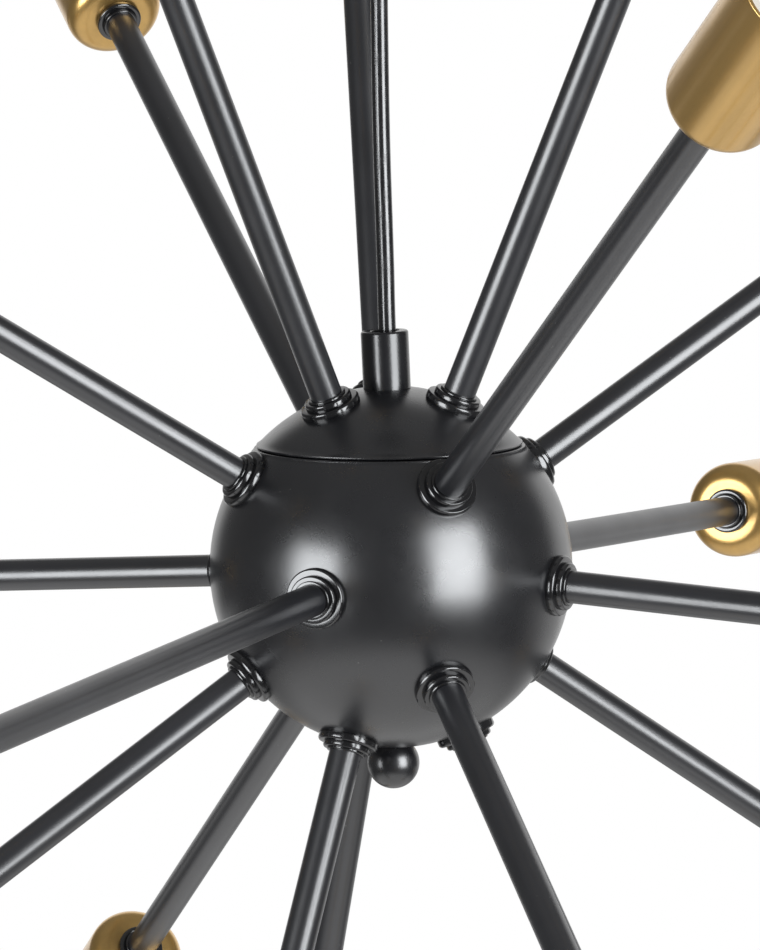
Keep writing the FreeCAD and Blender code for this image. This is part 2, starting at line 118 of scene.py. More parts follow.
class BallSettings(bpy.types.PropertyGroup):
    """Sizes and finish of the ball, its coupler and its knob."""
    radius: size("Radius", "Outside radius of the ball", 0.056)
    wall: size("Wall", "Thickness of the ball's sheet metal", 0.0012)
    seam: size("Seam height", "Height of the seam over the middle of the ball", 0.037914)
    enamel: tone("Enamel", "Colour of the satin black enamel", (0.0075, 0.0077, 0.0095))
    enamel_roughness: share("Enamel roughness", "How far the enamel spreads a reflection", 0.28)


class ArmSettings(bpy.types.PropertyGroup):
    """Sizes and finish of the arms and the rosettes at their roots."""
    radius: size("Radius", "Outside radius of an arm", 0.005)
    wall: size("Wall", "Thickness of an arm's wall", 0.0008)
    inner_end: size("Inner end", "Distance of the arm's inner end from the middle of the ball", 0.046)
    powder: tone("Powder coat", "Colour of the black powder coat", (0.013, 0.0135, 0.0165))
    powder_roughness: share("Powder coat roughness", "How far the coat spreads a reflection", 0.32)
    gloss: tone("Gloss black", "Colour of the rosettes' gloss enamel", (0.006, 0.006, 0.007))
    gloss_roughness: share("Gloss roughness", "How far the gloss enamel spreads a reflection", 0.17)


class CupSettings(bpy.types.PropertyGroup):
    """Sizes and finish of the lamp cups and the lampholders in them."""
    base: size("Base", "Distance of the cup's base from the middle of the ball", 0.296)
    radius: size("Radius", "Outside radius of a cup", 0.0164)
    length: size("Length", "Length of a cup", 0.067)
    wall: size("Wall", "Thickness of a cup's wall", 0.0009)
    rounding: size("Rounding", "Radius where the base turns into the side", 0.0065)
    gold: tone("Gold", "Colour of the satin gold lacquer", (0.78, 0.49, 0.165))
    gold_roughness: share("Gold roughness", "How far the gold spreads a reflection", 0.31)
    ceramic: tone("Ceramic", "Colour of the lampholder's glaze", (0.80, 0.77, 0.69))


class CordSettings(bpy.types.PropertyGroup):
    """Size and finish of the hanging cord."""
    diameter: size("Diameter", "Outside diameter of the cord", 0.0054)
    jacket: tone("Jacket", "Colour of the cord's smooth jacket", (0.008, 0.008, 0.0095))
    jacket_roughness: share("Jacket roughness", "How far the jacket spreads a reflection", 0.22)


class StageSettings(bpy.types.PropertyGroup):
    """The camera, the lamps and the floor."""
    focal_length: bpy.props.FloatProperty(
        name="Focal length", description="Camera lens", default=266.3, min=1.0, subtype="DISTANCE_CAMERA",
    )
    floor_drop: size("Floor drop", "How far the floor lies below the middle of the ball", 1.25)
    left_power: watts("Left softbox", 18.0)
    right_power: watts("Right softbox", 30.0)
    floor_tone: tone("Floor", "Colour of the pale floor", (0.86, 0.86, 0.86))


# ---- modelling ----
def deselect():
    """Back to object mode with nothing selected."""
    if bpy.context.mode != "OBJECT":
        bpy.ops.object.mode_set(mode="OBJECT")
    bpy.ops.object.select_all(action="DESELECT")


def activate(piece):
    """Select one object and make it active."""
    deselect()
    piece.select_set(True)
    bpy.context.view_layer.objects.active = piece


def spread(start, end, steps):
    """Evenly spaced values from start to end, with both of them."""
    return [start + (end - start) * step / steps for step in range(steps + 1)]


def around(radius, angle, x=0.0, z=0.0):
    """The outline point at an angle, in degrees, of a circle about (x, z)."""
    turn = math.radians(angle)
    return (x + radius * math.cos(turn), z + radius * math.sin(turn))


def arc(x, z, radius, start, end, steps):
    """Outline points of an arc about (x, z), from one angle to another, in degrees."""
    return [around(radius, angle, x, z) for angle in spread(start, end, steps)]


def turned(name, outline, sides=96, crease=CREASE):
    """Turn a piece about Z: its outline is drawn by extruding one vertex, then spun and shaded smooth."""
    deselect()
    bpy.ops.mesh.primitive_plane_add(size=MM, enter_editmode=True, location=(0, 0, 0))
    bpy.ops.mesh.merge(type="CENTER")
    last = outline[0]
    bpy.ops.transform.translate(value=(last[0] * MM, 0, last[1] * MM))
    for point in outline[1:]:
        step = ((point[0] - last[0]) * MM, 0, (point[1] - last[1]) * MM)
        bpy.ops.mesh.extrude_region_move(TRANSFORM_OT_translate={"value": step})
        last = point
    bpy.ops.mesh.select_all(action="SELECT")
    bpy.ops.mesh.spin(
        steps=sides, angle=2 * math.pi, center=(0, 0, 0), axis=(0, 0, 1), use_auto_merge=True)
    bpy.ops.mesh.select_all(action="SELECT")
    bpy.ops.mesh.remove_doubles(threshold=2e-6)
    bpy.ops.mesh.normals_make_consistent(inside=False)
    bpy.ops.object.mode_set(mode="OBJECT")
    piece = bpy.context.active_object
    piece.name = piece.data.name = name
    return smooth(piece, crease) if crease else piece


def smooth(piece, angle=CREASE):
    """Shade smooth, apart from edges sharper than the angle."""
    activate(piece)
    bpy.ops.object.shade_smooth_by_angle(angle=math.radians(angle))
    return piece


def softened(piece, width):
    """Round every sharp edge with an applied bevel."""
    activate(piece)
    bevel = piece.modifiers.new("Soft edges", "BEVEL")
    bevel.width = width * MM
    bevel.segments = 2
    bevel.limit_method = "ANGLE"
    bevel.angle_limit = math.radians(CREASE)
    bevel.harden_normals = False
    bpy.ops.object.modifier_apply(modifier=bevel.name)
    return piece


def flex(name, route, diameter):
    """A round flexible line: one smooth curve led by the points of its route, in metres."""
    line = bpy.data.curves.new(name, "CURVE")
    line.dimensions = "3D"
    spline = line.splines.new("NURBS")
    spline.points.add(len(route) - 1)
    for point, place in zip(spline.points, route):
        point.co = (*place, 1.0)
    spline.order_u = 3
    spline.use_endpoint_u = True
    spline.resolution_u = 12
    line.bevel_depth = diameter / 2
    line.bevel_resolution = 10
    line.use_fill_caps = True
    piece = bpy.data.objects.new(name, line)
    bpy.context.scene.collection.objects.link(piece)
    return piece


def at_arm(model, name, number, direction):
    """Copy a model to an arm, placed in its own mesh, with its pattern moved on from arm to arm."""
    copy = model.copy()
    copy.data = model.data.copy()
    copy.name = copy.data.name = name
    bpy.context.scene.collection.objects.link(copy)
    points = copy.data.attributes.new(FOLLOWED, "FLOAT_VECTOR", "POINT")
    for vertex, point in zip(copy.data.vertices, points.data):
        point.vector = (vertex.co.x + PATTERN_STEP * number, vertex.co.y, vertex.co.z)
    turn = Vector((0, 0, 1)).rotation_difference(direction).to_matrix().to_4x4()
    copy.data.transform(Matrix.Translation(BALL_CENTRE) @ turn)
    return copy


def joined(name, pieces):
    """Several objects as one mesh."""
    deselect()
    for piece in pieces:
        piece.select_set(True)
    bpy.context.view_layer.objects.active = pieces[0]
    if len(pieces) > 1:
        bpy.ops.object.join()
    pieces[0].name = pieces[0].data.name = name
    return pieces[0]


def removed(piece):
    """Take a model away that was only there to be copied."""
    bpy.data.objects.remove(piece)


def ring_body(ring):
    """The body that carries a ring of arms."""
    return "head" if ring == 1 else "bowl"


def ringed(stem, slot, paint, group, copy):
    """Join what is copied to the arms of each ring, in place of the frame's group of such pieces."""
    for ring, arms in RING_ARMS.items():
        whole = joined(f"{stem}_ring_{ring}", [copy(number, direction) for number, direction in arms])
        node = group.format(ring=ring, half="cap" if ring == 1 else "bowl")
        finished(whole, ring_body(ring), slot, paint, node)


def on_every_arm(model, stem, slot, paint, group):
    """Copy one model to all the arms."""
    ringed(stem, slot, paint, group, lambda number, direction: at_arm(model, stem, number, direction))
    removed(model)


def finished(piece, body, slot, paint, *nodes):
    """Give a piece its finish, its body and the frame's nodes that it stands for."""
    piece.data.materials.clear()
    piece.data.materials.append(paint)
    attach(piece, body)
    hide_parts(*nodes)


# ---- finishes ----
class Nodes:
    """A node tree being put together."""

    def __init__(self, tree):
        self.nodes, self.links = tree.nodes, tree.links

    def made(self, kind, inputs, output, **traits):
        """An output of a new node, whose inputs are outputs of others or plain values."""
        node = self.nodes.new(kind)
        for trait, value in traits.items():
            setattr(node, trait, value)
        for socket, value in inputs.items():
            if isinstance(value, bpy.types.NodeSocket):
                self.links.new(value, node.inputs[socket])
            else:
                node.inputs[socket].default_value = value
        return node.outputs[output]

    def ranged(self, value, low, high, start=0.3, end=0.7):
        """A value brought from start and end to low and high."""
        inputs = {"Value": value, "From Min": start, "From Max": end, "To Min": low, "To Max": high}
        return self.made("ShaderNodeMapRange", inputs, "Result")

    def maths(self, operation, *values):
        """A sum or product of plain numbers."""
        return self.made("ShaderNodeMath", dict(enumerate(values)), "Value", operation=operation)

    def along(self, place, way):
        """How far a place lies in a direction."""
        return self.made("ShaderNodeVectorMath", {0: place, 1: way}, "Value", operation="DOT_PRODUCT")

    def blended(self, factor, first, second):
        """Mix two colours, each plain or another node's output."""
        inputs = {"Factor": factor}
        for socket, colour in ((6, first), (7, second)):
            inputs[socket] = colour if isinstance(colour, bpy.types.NodeSocket) else (*colour, 1.0)
        return self.made("ShaderNodeMix", inputs, 2, data_type="RGBA")


class Finish(Nodes):
    """A node material being put together."""

    def __init__(self, name, follow=False):
        self.material = bpy.data.materials.new(name)
        self.material.use_nodes = True
        super().__init__(self.material.node_tree)
        self.shader = self.nodes["Principled BSDF"]
        if follow:
            self.place = self.made("ShaderNodeAttribute", {}, "Vector", attribute_name=FOLLOWED)
        else:
            self.place = self.made("ShaderNodeTexCoord", {}, "Object")

    def constant(self, **values):
        """Set plain values on the shader's own sockets."""
        for name, value in values.items():
            self.shader.inputs[name.replace("_", " ").title().replace("Ior", "IOR")].default_value = value

    def set(self, socket, output):
        """Lead an output to one of the shader's sockets."""
        self.links.new(output, self.shader.inputs[socket])

    def noise(self, scale, detail=3.0, stretch=None, roughness=0.55):
        """Noise in space; a stretch below 1 draws it longer along that axis."""
        place = self.place
        if stretch:
            inputs = {0: place, 1: stretch}
            place = self.made("ShaderNodeVectorMath", inputs, "Vector", operation="MULTIPLY")
        inputs = {"Scale": scale, "Detail": detail, "Roughness": roughness, "Vector": place}
        return self.made("ShaderNodeTexNoise", inputs, "Fac")

    def specks(self, scale, reach, rarity):
        """1 in small dots, one in some of the cells of a grid of that scale."""
        distance = self.made("ShaderNodeTexVoronoi", {"Scale": scale, "Vector": self.place}, "Distance")
        near = self.ranged(distance, 1.0, 0.0, 0.5 * reach, reach)
        lot = self.made("ShaderNodeSeparateColor", {"Color": distance.node.outputs["Color"]}, "Red")
        return self.maths("MULTIPLY", near, self.ranged(lot, 0.0, 1.0, rarity, rarity + 0.01))

    def clouded(self, cloud, dark, light):
        """Colour the piece from dark to light with the cloud."""
        self.set("Base Color", self.blended(self.ranged(cloud, 0.0, 1.0), dark, light))

    def bumped(self, height, strength, distance, after=None):
        """Raise the surface by a height, on top of what an earlier bump did."""
        inputs = {"Strength": strength, "Distance": distance, "Height": height}
        if after:
            inputs["Normal"] = after
        normal = self.made("ShaderNodeBump", inputs, "Normal")
        self.set("Normal", normal)
        return normal


def scaled(colour, factor):
    """A colour made darker or lighter."""
    return tuple(min(1.0, channel * factor) for channel in colour)


def black_coat(name, colour, roughness, follow, grain=900.0, grain_depth=0.00002, dust=0.5, uneven=0.035,
               specular=0.85):
    """Black enamel or powder coat: faint mottling, fine orange peel and a few specks of dust."""
    coat = Finish(name, follow)
    mottle = coat.noise(28.0, 4.0)
    plain = coat.blended(coat.ranged(mottle, 0.0, 1.0), scaled(colour, 0.8), scaled(colour, 1.3))
    dots = coat.specks(300.0, 0.05, 1.0 - 0.30 * dust)
    coat.set("Base Color", coat.blended(dots, plain, (0.30, 0.29, 0.27)))
    wiped = coat.ranged(coat.noise(60.0, 5.0), roughness - uneven, roughness + uneven)
    coat.set("Roughness", wiped)
    wave = coat.bumped(coat.noise(120.0, 2.0), 0.10, 0.00006)
    coat.bumped(coat.noise(grain, 2.0), 0.35, grain_depth, wave)
    coat.constant(specular_ior_level=specular, ior=1.75)
    return coat.material


def satin_gold(name, colour, roughness):
    """Gold lacquer over spun sheet: soft streaks along the cup, a fine grain and a little tarnish."""
    coat = Finish(name, True)
    streaks = coat.noise(300.0, 3.0, (1.0, 1.0, 0.03))
    cloud = coat.noise(45.0, 4.0)
    body = coat.blended(coat.ranged(streaks, 0.0, 1.0), scaled(colour, 0.95), scaled(colour, 1.05))
    aged = coat.blended(coat.ranged(cloud, 0.0, 0.35, 0.35, 0.75), body, scaled(colour, 0.80))
    coat.set("Base Color", aged)
    coat.set("Roughness", coat.ranged(cloud, roughness - 0.04, roughness + 0.04))
    wave = coat.bumped(streaks, 0.16, 0.00005)
    coat.bumped(coat.noise(1500.0, 2.0), 0.30, 0.000015, wave)
    coat.constant(metallic=0.88, coat_weight=0.5, coat_roughness=0.12)
    return coat.material


def glazed(name, colour):
    """Glazed ceramic with a soft sheen."""
    coat = Finish(name, True)
    cloud = coat.noise(90.0, 4.0)
    plain = coat.blended(coat.ranged(cloud, 0.0, 1.0), scaled(colour, 0.93), colour)
    dots = coat.specks(420.0, 0.10, 0.93)
    coat.set("Base Color", coat.blended(dots, plain, scaled(colour, 0.45)))
    coat.set("Roughness", coat.ranged(coat.noise(160.0), 0.24, 0.36))
    coat.bumped(coat.noise(260.0, 2.0), 0.25, 0.00004)
    return coat.material


def matt_plastic(name, colour, follow=False):
    """Moulded or taped plastic with a fine matt grain."""
    coat = Finish(name, follow)
    cloud = coat.noise(110.0, 4.0)
    coat.clouded(cloud, scaled(colour, 0.88), scaled(colour, 1.08))
    coat.set("Roughness", coat.ranged(cloud, 0.46, 0.60))
    coat.bumped(coat.noise(1400.0, 2.0), 0.35, 0.00003)
    return coat.material


def striped(name, first, second):
    """Insulation in two colours, one on each side of a core that runs in the plane Y = 0."""
    coat = Finish(name)
    side = coat.made("ShaderNodeSeparateXYZ", {"Vector": coat.place}, "Y")
    side = coat.ranged(side, 0.0, 1.0, -0.00005, 0.00005)
    coat.set("Base Color", coat.blended(side, first, second))
    coat.set("Roughness", coat.ranged(coat.noise(110.0, 4.0), 0.42, 0.56))
    coat.bumped(coat.noise(1400.0, 2.0), 0.35, 0.00003)
    return coat.material


def plated(name, colour, roughness, follow=False):
    """Plated or turned metal: fine tool marks round the piece and cloudy plating."""
    coat = Finish(name, follow)
    marks = coat.noise(700.0, 2.0, (0.06, 0.06, 1.0))
    cloud = coat.noise(70.0, 4.0)
    coat.clouded(cloud, scaled(colour, 0.82), scaled(colour, 1.05))
    coat.set("Roughness", coat.ranged(cloud, roughness - 0.05, roughness + 0.07))
    coat.bumped(marks, 0.25, 0.00003)
    coat.constant(metallic=1.0)
    return coat.material


def jacket(name, colour, roughness):
    """Smooth flexible jacket: die lines along it and whitish scuffs."""
    coat = Finish(name)
    lines = coat.noise(1500.0, 2.0, (1.0, 1.0, 0.02))
    scuffs = coat.noise(520.0, 5.0, (1.0, 1.0, 0.35), 0.7)
    worn = coat.ranged(scuffs, 0.0, 0.55, 0.66, 0.80)
    plain = coat.blended(coat.ranged(lines, 0.0, 1.0), scaled(colour, 0.8), scaled(colour, 1.3))
    coat.set("Base Color", coat.blended(worn, plain, (0.22, 0.22, 0.22)))
    coat.set("Roughness", coat.ranged(scuffs, roughness - 0.03, roughness + 0.22, 0.45, 0.80))
    coat.bumped(lines, 0.20, 0.00003)
    coat.constant(specular_ior_level=0.85, ior=1.7)
    return coat.material


# ---- the pieces ----
class CHANDELIER_OT_camera(bpy.types.Operator):
    """Place the camera where the chandelier is seen from a little above, close to its middle"""
    bl_idname = "chandelier.camera"
    bl_label = "Camera"

    PITCH, ROLL = math.radians(6.96), math.radians(0.72)
    BALL_SEEN_AT = Vector((0.0034, -0.02827, -2.171))     # the ball's middle, as the camera has it

    def execute(self, context):
        scene = context.scene
        deselect()
        bpy.ops.object.camera_add(location=(0, 0, 0))
        camera = bpy.context.active_object
        camera.name = "Camera"
        camera.data.lens = scene.stage_settings.focal_length
        camera.data.sensor_width = 36.0
        camera.data.clip_start = 0.05
        camera.data.clip_end = 60.0
        right = Vector((math.cos(self.ROLL), math.sin(self.ROLL), 0))
        side = Vector((-right.y, right.x, 0))
        level, rise, up = math.cos(self.PITCH), math.sin(self.PITCH), Vector((0, 0, 1))
        turn = Matrix([right, rise * side - level * up, level * side + rise * up])
        camera.matrix_world = Matrix.Translation(BALL_CENTRE - turn @ self.BALL_SEEN_AT) @ turn.to_4x4()
        scene.camera = camera
        return {"FINISHED"}


class CHANDELIER_OT_cord(bpy.types.Operator):
    """Hang the cord between the ceiling dish's grip and the coupler on the ball"""
    bl_idname = "chandelier.cord"
    bl_label = "Cord"

    ROUTE = (
        (0.0, 0.0, -0.0365), (-0.0002, 0.0001, -0.11855), (-0.001, 0.0002, -0.214275),
        (-0.0015, 0.0001, -0.310), (-0.00145, 0.0, -0.366), (-0.00055, -0.0001, -0.404),
        (-0.00035, 0.0, -0.426684), (0.0, 0.0, -0.432484),
    )

    def execute(self, context):
        settings = context.scene.cord_settings
        cover = jacket("Cord jacket", settings.jacket, settings.jacket_roughness)
        cord = flex("hanging_cord", self.ROUTE, settings.diameter)
        finished(cord, "cord", "black_cord", cover, "cord")
        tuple(self.ROUTE[0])
        return {"FINISHED"}


class CHANDELIER_OT_cord_ends(bpy.types.Operator):
    """Make the held ends of the cord: the cut jacket, and three cores that turn off to what they feed"""
    bl_idname = "chandelier.cord_ends"
    bl_label = "Cord ends"

    CORE_DIAMETER = 0.0014

    def execute(self, context):
        settings = context.scene.cord_settings
        cover = jacket("Held jacket", settings.jacket, settings.jacket_roughness)
        cores = (
            ("earth", 1.35, 0.0, striped("Earth core", (0.08, 0.32, 0.05), (0.72, 0.55, 0.05))),
            ("live", -0.65, 1.2, matt_plastic("Live core", LIVE)),
            ("neutral", -0.65, -1.2, matt_plastic("Neutral core", NEUTRAL)),
        )
        # In millimetres: where the ball's middle or the ceiling is, the jacket's far end, where the cores
        # leave it, and how far, and at which heights, the middle and the outer cores run.
        ends = (
            ("top", "canopy", "cord_upper_end", 0.0, -35.9, -20.0, 18.9, -15.5, -17.7, 3.6),
            ("low", "head", "cord_lower_end", BALL_CENTRE.z / MM, 66.9, 18.0, 4.84, 9.0, 5.0, 1.0),
        )
        for end, body, node, zero, held, cut, reach, middle, outer, fan in ends:
            radius, way = settings.diameter / MM / 2, math.copysign(1.0, cut - held)
            edge = cut - 0.3 * way
            outline = [(0, held), (radius, held), (radius, edge), (radius - 0.3, cut), (0, cut)]
            sleeve = turned(f"cord_jacket_{end}", outline, 48, 30.0)
            sleeve.data.transform(Matrix.Translation((0, 0, zero * MM)))
            finished(sleeve, body, "black_cord", cover, node)
            for kind, x, y, paint in cores:
                level = middle if kind == "earth" else outer
                bend = 2.2 * math.copysign(1.0, level - cut)
                route = (
                    (x, y, cut - 0.5 * way), (x, y, level - bend), (x, y, level),
                    (min(x + 2.2, reach - 1.2), y, level),
                    (0.5 * (x + reach), 0.5 * (1 + fan) * y, level), (reach, fan * y, level),
                )
                route = [(a * MM, b * MM, (c + zero) * MM) for a, b, c in route]
                core = flex(f"core_{kind}_{end}", route, self.CORE_DIAMETER)
                finished(core, body, "lead_insulation", paint, node)
        return {"FINISHED"}


class CHANDELIER_OT_leads(bpy.types.Operator):
    """Twist each arm's two leads together, and tape their joints in the ball"""
    bl_idname = "chandelier.leads"
    bl_label = "Leads and splices"

    def execute(self, context):
        cups = context.scene.cup_settings
        thick, beside, pitch = 0.8, 1.15, 26.0
        splice, half_height, gap, holder_deep = 17.0, 20.0, 0.1, 39.0
        end = (cups.base + cups.length) / MM - holder_deep - gap
        pair = (("live", (0.78, 0.76, 0.70), 0.0), ("neutral", (0.60, 0.61, 0.61), math.pi))
        for kind, colour, start_turn in pair:
            paint = matt_plastic(f"{kind.title()} lead", colour, True)

            def copy(number, direction, turn=start_turn):
                rise = math.asin(abs(direction.z))
                clear_side = (splice + thick * math.sin(rise)) / math.cos(rise)
                clear_top = (half_height + thick * math.cos(rise)) / max(math.sin(rise), 0.001)
                lead = self.twisted(min(clear_side, clear_top) + gap, end, thick, beside, pitch, turn)
                placed = at_arm(lead, f"lead_{number}", number, direction)
                removed(lead)
                return placed

            ringed(f"{kind}_leads", "lead_insulation", paint, "arm_leads_{half}", copy)
        self.splices(splice, half_height)
        return {"FINISHED"}

    def twisted(self, start, end, thick, beside, pitch, start_turn):
        """One lead of a pair: a circle wound round the arm's axis by a Screw, closed at both ends."""
        deselect()
        place = (beside * MM * math.cos(start_turn), beside * MM * math.sin(start_turn), start * MM)
        bpy.ops.mesh.primitive_circle_add(vertices=10, radius=thick * MM, enter_editmode=True)
        bpy.ops.transform.translate(value=place)
        bpy.ops.object.mode_set(mode="OBJECT")
        lead = bpy.context.active_object
        screw = lead.modifiers.new("Twist", "SCREW")
        screw.axis = "Z"
        screw.screw_offset = (end - start) * MM
        screw.angle = 2 * math.pi * (end - start) / pitch
        screw.steps = screw.render_steps = int(7 * (end - start) / pitch)
        bpy.ops.object.modifier_apply(modifier=screw.name)
        bpy.ops.object.mode_set(mode="EDIT")
        bpy.ops.mesh.select_all(action="SELECT")
        bpy.ops.mesh.fill_holes(sides=0)
        bpy.ops.mesh.select_all(action="SELECT")
        bpy.ops.mesh.normals_make_consistent(inside=False)
        bpy.ops.object.mode_set(mode="OBJECT")
        return smooth(lead, 50.0)

    def splices(self, splice, half_height):
        """Two half rings of taped joints, whose tape laps over itself every 4 mm."""
        inside, lap, laps = 5.3, 0.35, 10
        outline = [
            (inside, 0.8 - half_height), (inside + 0.8, -half_height), (splice - 2.5, -half_height),
        ]
        step = (2 * half_height - 3.0) / laps
        for turn in range(laps):
            foot = 1.5 - half_height + turn * step
            swell = 1.6 * (abs(2 * (turn + 0.5) / laps - 1) ** 4)
            out = splice - swell
            outline += [(out - lap, foot), (out, foot + 0.7), (out - 0.1, foot + step - 0.2)]
        outline += [(splice - 2.5, half_height), (inside + 0.8, half_height), (inside, half_height - 0.8)]
        outline.append(outline[0])
        tape = matt_plastic("Insulating tape", (0.020, 0.020, 0.021))
        halves = []
        for side in (-1, 1):
            half = turned(f"splice_{'left' if side < 0 else 'right'}", outline, crease=None)
            bpy.ops.object.mode_set(mode="EDIT")
            bpy.ops.mesh.select_all(action="SELECT")
            bpy.ops.mesh.bisect(
                plane_co=(0, 0.4 * side * MM, 0), plane_no=(0, side, 0), use_fill=True, clear_inner=True)
            bpy.ops.object.mode_set(mode="OBJECT")
            smooth(softened(half, 0.5))
            half.data.transform(Matrix.Translation(BALL_CENTRE))
            halves.append(half)
        finished(joined("taped_splices", halves), "head", "black_plastic", tape, "wire_splices")


class CHANDELIER_OT_ball(bpy.types.Operator):
    """Spin the two halves of the ball: the cap with its rolled edge, and the bowl with its inner lip"""
    bl_idname = "chandelier.ball"
    bl_label = "Ball"

    def execute(self, context):
        settings = context.scene.ball_settings
        radius, wall, seam = settings.radius / MM, settings.wall / MM, settings.seam / MM
        inside = radius - wall
        coat = black_coat("Ball enamel", settings.enamel, settings.enamel_roughness, False)
        coupler, knob, tube_hole, stud_hole = 7.35, 5.9, 5.2, 3.2
        edge, low_edge, proud, groove = 0.45, 0.5, 0.30, 0.3

        # The cap: flat top, dome, a slightly flared rounded edge, and the dome again inside.
        top = math.degrees(math.acos(coupler / radius))
        at_seam = math.degrees(math.asin((seam + edge) / radius))
        dome = arc(0, 0, radius, top, at_seam + 2.0, 72)
        flare = [
            around(radius + proud * part ** 2, at_seam + 2.0 - 2.0 * part) for part in spread(0, 1, 6)[1:]
        ]
        rim = arc(flare[-1][0] - edge, seam + edge, edge, 0, -90, 6)[1:]
        inner = arc(0, 0, inside, math.degrees(math.asin(seam / inside)),
                    math.degrees(math.acos(tube_hole / inside)), 48)
        corner = (math.sqrt(inside ** 2 - seam ** 2), seam)
        cap_outline = [(tube_hole, dome[0][1]), *dome, *flare, *rim, corner, *inner[1:]]
        cap = turned("upper_ball", [*cap_outline, cap_outline[0]], 224, 50.0)

        # The bowl: rim, dome to the flat over the knob, the dome inside, and the lip that enters the cap.
        rim_z = seam - groove
        start = math.degrees(math.asin((rim_z - low_edge) / radius))
        shell = arc(0, 0, radius, start, -math.degrees(math.acos(knob / radius)), 120)
        corner = arc(shell[0][0] - low_edge, rim_z - low_edge, low_edge, 90, 10, 5)
        lip_out, lip_in = inside - 0.4, inside - 0.4 - wall
        lip_top, lip_root = seam + 4.0, rim_z - 1.8
        lip = [(math.sqrt(lip_in ** 2 - z ** 2), z) for z in spread(lip_root, lip_top, 6)]
        lip_side = [(math.sqrt(lip_out ** 2 - z ** 2), z) for z in spread(lip_top, rim_z, 6)]
        inner_dome = arc(0, 0, inside, -math.degrees(math.acos(stud_hole / inside)),
                         math.degrees(math.asin(lip_root / inside)), 72)
        bowl_outline = [*corner, *shell, (stud_hole, shell[-1][1]), *inner_dome, *lip, *lip_side]
        bowl = turned("lower_ball", [*bowl_outline, bowl_outline[0]], 224, 50.0)
        for piece, body, node in ((cap, "head", "ball_cap"), (bowl, "bowl", "ball_bowl")):
            piece.data.transform(Matrix.Translation(BALL_CENTRE))
            finished(piece, body, "ball_black", coat, node)
        return {"FINISHED"}


class CHANDELIER_OT_coupler(bpy.types.Operator):
    """Turn the coupler on the ball, which leans a little to the left as it was screwed on"""
    bl_idname = "chandelier.coupler"
    bl_label = "Coupler"

    def execute(self, context):
        settings = context.scene.ball_settings
        ball_top, high, out, bore, floor, tube = 55.516, 73.316, 7.35, 4.22, 66.916, 5.02
        low = ball_top - 0.35
        outline = [
            (tube, low), (out - 0.25, low), (out, low + 0.25), (out, low + 1.2),
            *arc(out - 0.8, high - 0.8, 0.8, 0, 90, 6), *arc(bore + 0.5, high - 0.5, 0.5, 90, 180, 4),
            (bore, floor), (tube, floor), (tube, low),
        ]
        coupler = turned("coupler_tube", outline, 128)
        lean, shift = Matrix.Rotation(math.radians(-1.9), 4, "Y"), -0.55
        foot = Matrix.Translation((0, 0, ball_top * MM))
        coupler.data.transform(Matrix.Translation((shift * MM, 0, 0)) @ foot @ lean @ foot.inverted())
        coupler.data.transform(Matrix.Translation(BALL_CENTRE))
        coat = black_coat("Coupler enamel", settings.enamel, 0.25, False, 1100.0, 0.00003, 0.9,
                          specular=0.6)
        finished(coupler, "head", "black_satin", coat, "coupler")
        return {"FINISHED"}


class CHANDELIER_OT_knob(bpy.types.Operator):
    """Turn the ball-shaped knob that holds the bowl from below"""
    bl_idname = "chandelier.knob"
    bl_label = "Bottom knob"

    def execute(self, context):
        settings = context.scene.ball_settings
        radius, flat, stud, reach = 8.1, 5.9, 3.0, 13.5
        top = -math.sqrt((settings.radius / MM) ** 2 - flat ** 2)
        centre = top - math.sqrt(radius ** 2 - flat ** 2)
        start = math.degrees(math.asin((top - 0.1 - centre) / radius))
        tip = reach - settings.radius / MM + settings.wall / MM
        outline = [(0, tip), (stud - 0.4, tip), (stud, tip - 0.4), (stud, top - 0.1)]
        outline += arc(0, centre, radius, start, -90, 48)
        outline[-1] = (0, centre - radius)
        knob = turned("bottom_knob", outline, 128)
        knob.data.transform(Matrix.Translation(BALL_CENTRE))
        coat = black_coat("Knob enamel", settings.enamel, 0.25, False, 1000.0, 0.00002, 1.0)
        finished(knob, "finial", "black_satin", coat, "finial")
        return {"FINISHED"}


class CHANDELIER_OT_arms(bpy.types.Operator):
    """Draw one arm tube with eased ends and copy it to the eighteen places"""
    bl_idname = "chandelier.arms"
    bl_label = "Arms"

    def execute(self, context):
        settings, cups = context.scene.arm_settings, context.scene.cup_settings
        out, wall = settings.radius / MM, settings.wall / MM
        low, high = settings.inner_end / MM, (cups.base + cups.wall) / MM + 8.0
        ease = 0.25
        levels = spread(low + ease, high - ease, 24)
        outline = [
            (out - wall, low), (out - ease, low), *[(out, level) for level in levels],
            (out - ease, high), (out - wall, high), (out - wall, low),
        ]
        model = turned("arm_model", outline, 72)
        coat = black_coat("Arm powder coat", settings.powder, settings.powder_roughness, True,
                          1300.0, 0.000022, 0.8, 0.025)
        for ring, arms in RING_ARMS.items():
            for number, direction in arms:
                arm = at_arm(model, f"arm_{number:02d}", number, direction)
                finished(arm, ring_body(ring), "arm_black", coat, f"arm_tube_{number:02d}")
        removed(model)
        return {"FINISHED"}


